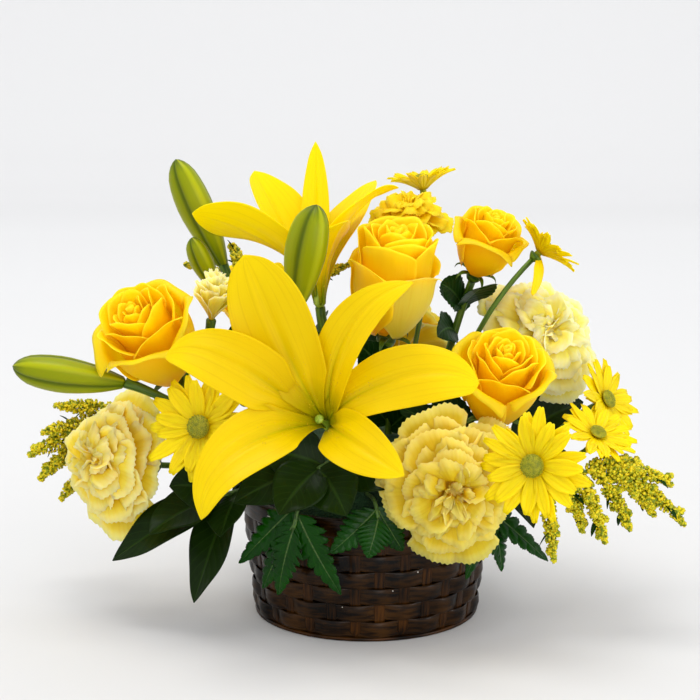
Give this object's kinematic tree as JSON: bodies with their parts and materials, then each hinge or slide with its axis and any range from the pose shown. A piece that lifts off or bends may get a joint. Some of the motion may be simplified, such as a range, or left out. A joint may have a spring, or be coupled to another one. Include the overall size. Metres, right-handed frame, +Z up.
{
  "type": "flower basket arrangement",
  "caption": "Low woven splint basket filled with a free-standing arrangement of yellow cut lilies, roses, carnations, daisies, goldenrod, fern and leaves in wet foam.",
  "frame": {"origin": "centre of the basket's flat underside, on the surface that it stands on", "axes": "+Z up, -Y towards the front of the arrangement, +X to the viewer's right"},
  "size_m": [0.3974, 0.2632, 0.2813],
  "materials": {
    "splint": "dark stained flat splint with a satin varnish",
    "liner": "plain dark plastic tray",
    "foam": "wet green floral foam",
    "lily_petal": "smooth lemon yellow petal, greener in the throat",
    "rose_petal": "velvety golden yellow petal, deeper in the heart",
    "carnation_petal": "matt pale cream yellow petal with a cut edge",
    "carnation_gold": "matt golden yellow petal with a cut edge",
    "daisy_petal": "bright yellow ray with fine lengthwise lines",
    "goldenrod": "powdery green-yellow florets",
    "bud": "smooth yellow-green bud and stem",
    "stem": "green stem, calyx and leaf",
    "leaf": "dark green leathery leaf with a soft sheen",
    "fern": "mid green toothed leaflets"
  },
  "bodies": {
    "root": {"lily_front_stem": "bud", "lily_front_bloom": "lily_petal", "lily_back_stem": "bud", "lily_back_bloom": "lily_petal", "lily_left_bud": "bud", "rose_left_stem": "stem", "rose_left_bloom": "rose_petal", "rose_centre_stem": "stem", "rose_centre_bloom": "rose_petal", "rose_right_stem": "stem", "rose_right_bloom": "rose_petal", "rose_upper_stem": "stem", "rose_upper_bloom": "rose_petal", "rose_rear_stem": "stem", "rose_rear_bloom": "rose_petal", "carnation_left_stem": "stem", "carnation_left_bloom": "carnation_petal", "carnation_front_stem": "stem", "carnation_front_bloom": "carnation_petal", "carnation_right_stem": "stem", "carnation_right_bloom": "carnation_petal", "carnation_small_stem": "stem", "carnation_small_bloom": "carnation_petal", "carnation_top_stem": "stem", "carnation_top_bloom": "carnation_gold", "carnation_rear_stem": "stem", "carnation_rear_bloom": "carnation_petal", "daisy_left_stem": "stem", "daisy_left_bloom": "daisy_petal", "daisy_right_stem": "stem", "daisy_right_bloom": "daisy_petal", "daisy_right_upper_bloom": "daisy_petal", "daisy_right_outer_bloom": "daisy_petal", "daisy_upper_stem": "stem", "daisy_upper_bloom": "daisy_petal", "daisy_top_stem": "stem", "daisy_top_bloom": "daisy_petal", "daisy_rear_stem": "stem", "daisy_rear_bloom": "daisy_petal", "goldenrod_right": "goldenrod", "goldenrod_left": "goldenrod", "goldenrod_rear": "goldenrod", "fern_front_left": "fern", "fern_front": "fern", "fern_right": "fern", "fern_rear_left": "fern", "fern_rear_right": "fern", "leaves_left": "leaf", "leaves_front": "leaf", "leaves_right": "leaf", "foam_block": "foam", "liner_tray": "liner", "basket_stakes": "splint", "basket_weaver_1": "splint", "basket_weaver_2": "splint", "basket_weaver_3": "splint", "basket_weaver_4": "splint", "basket_weaver_5": "splint", "basket_weaver_6": "splint", "basket_rim": "splint"}
  },
  "joints": []
}
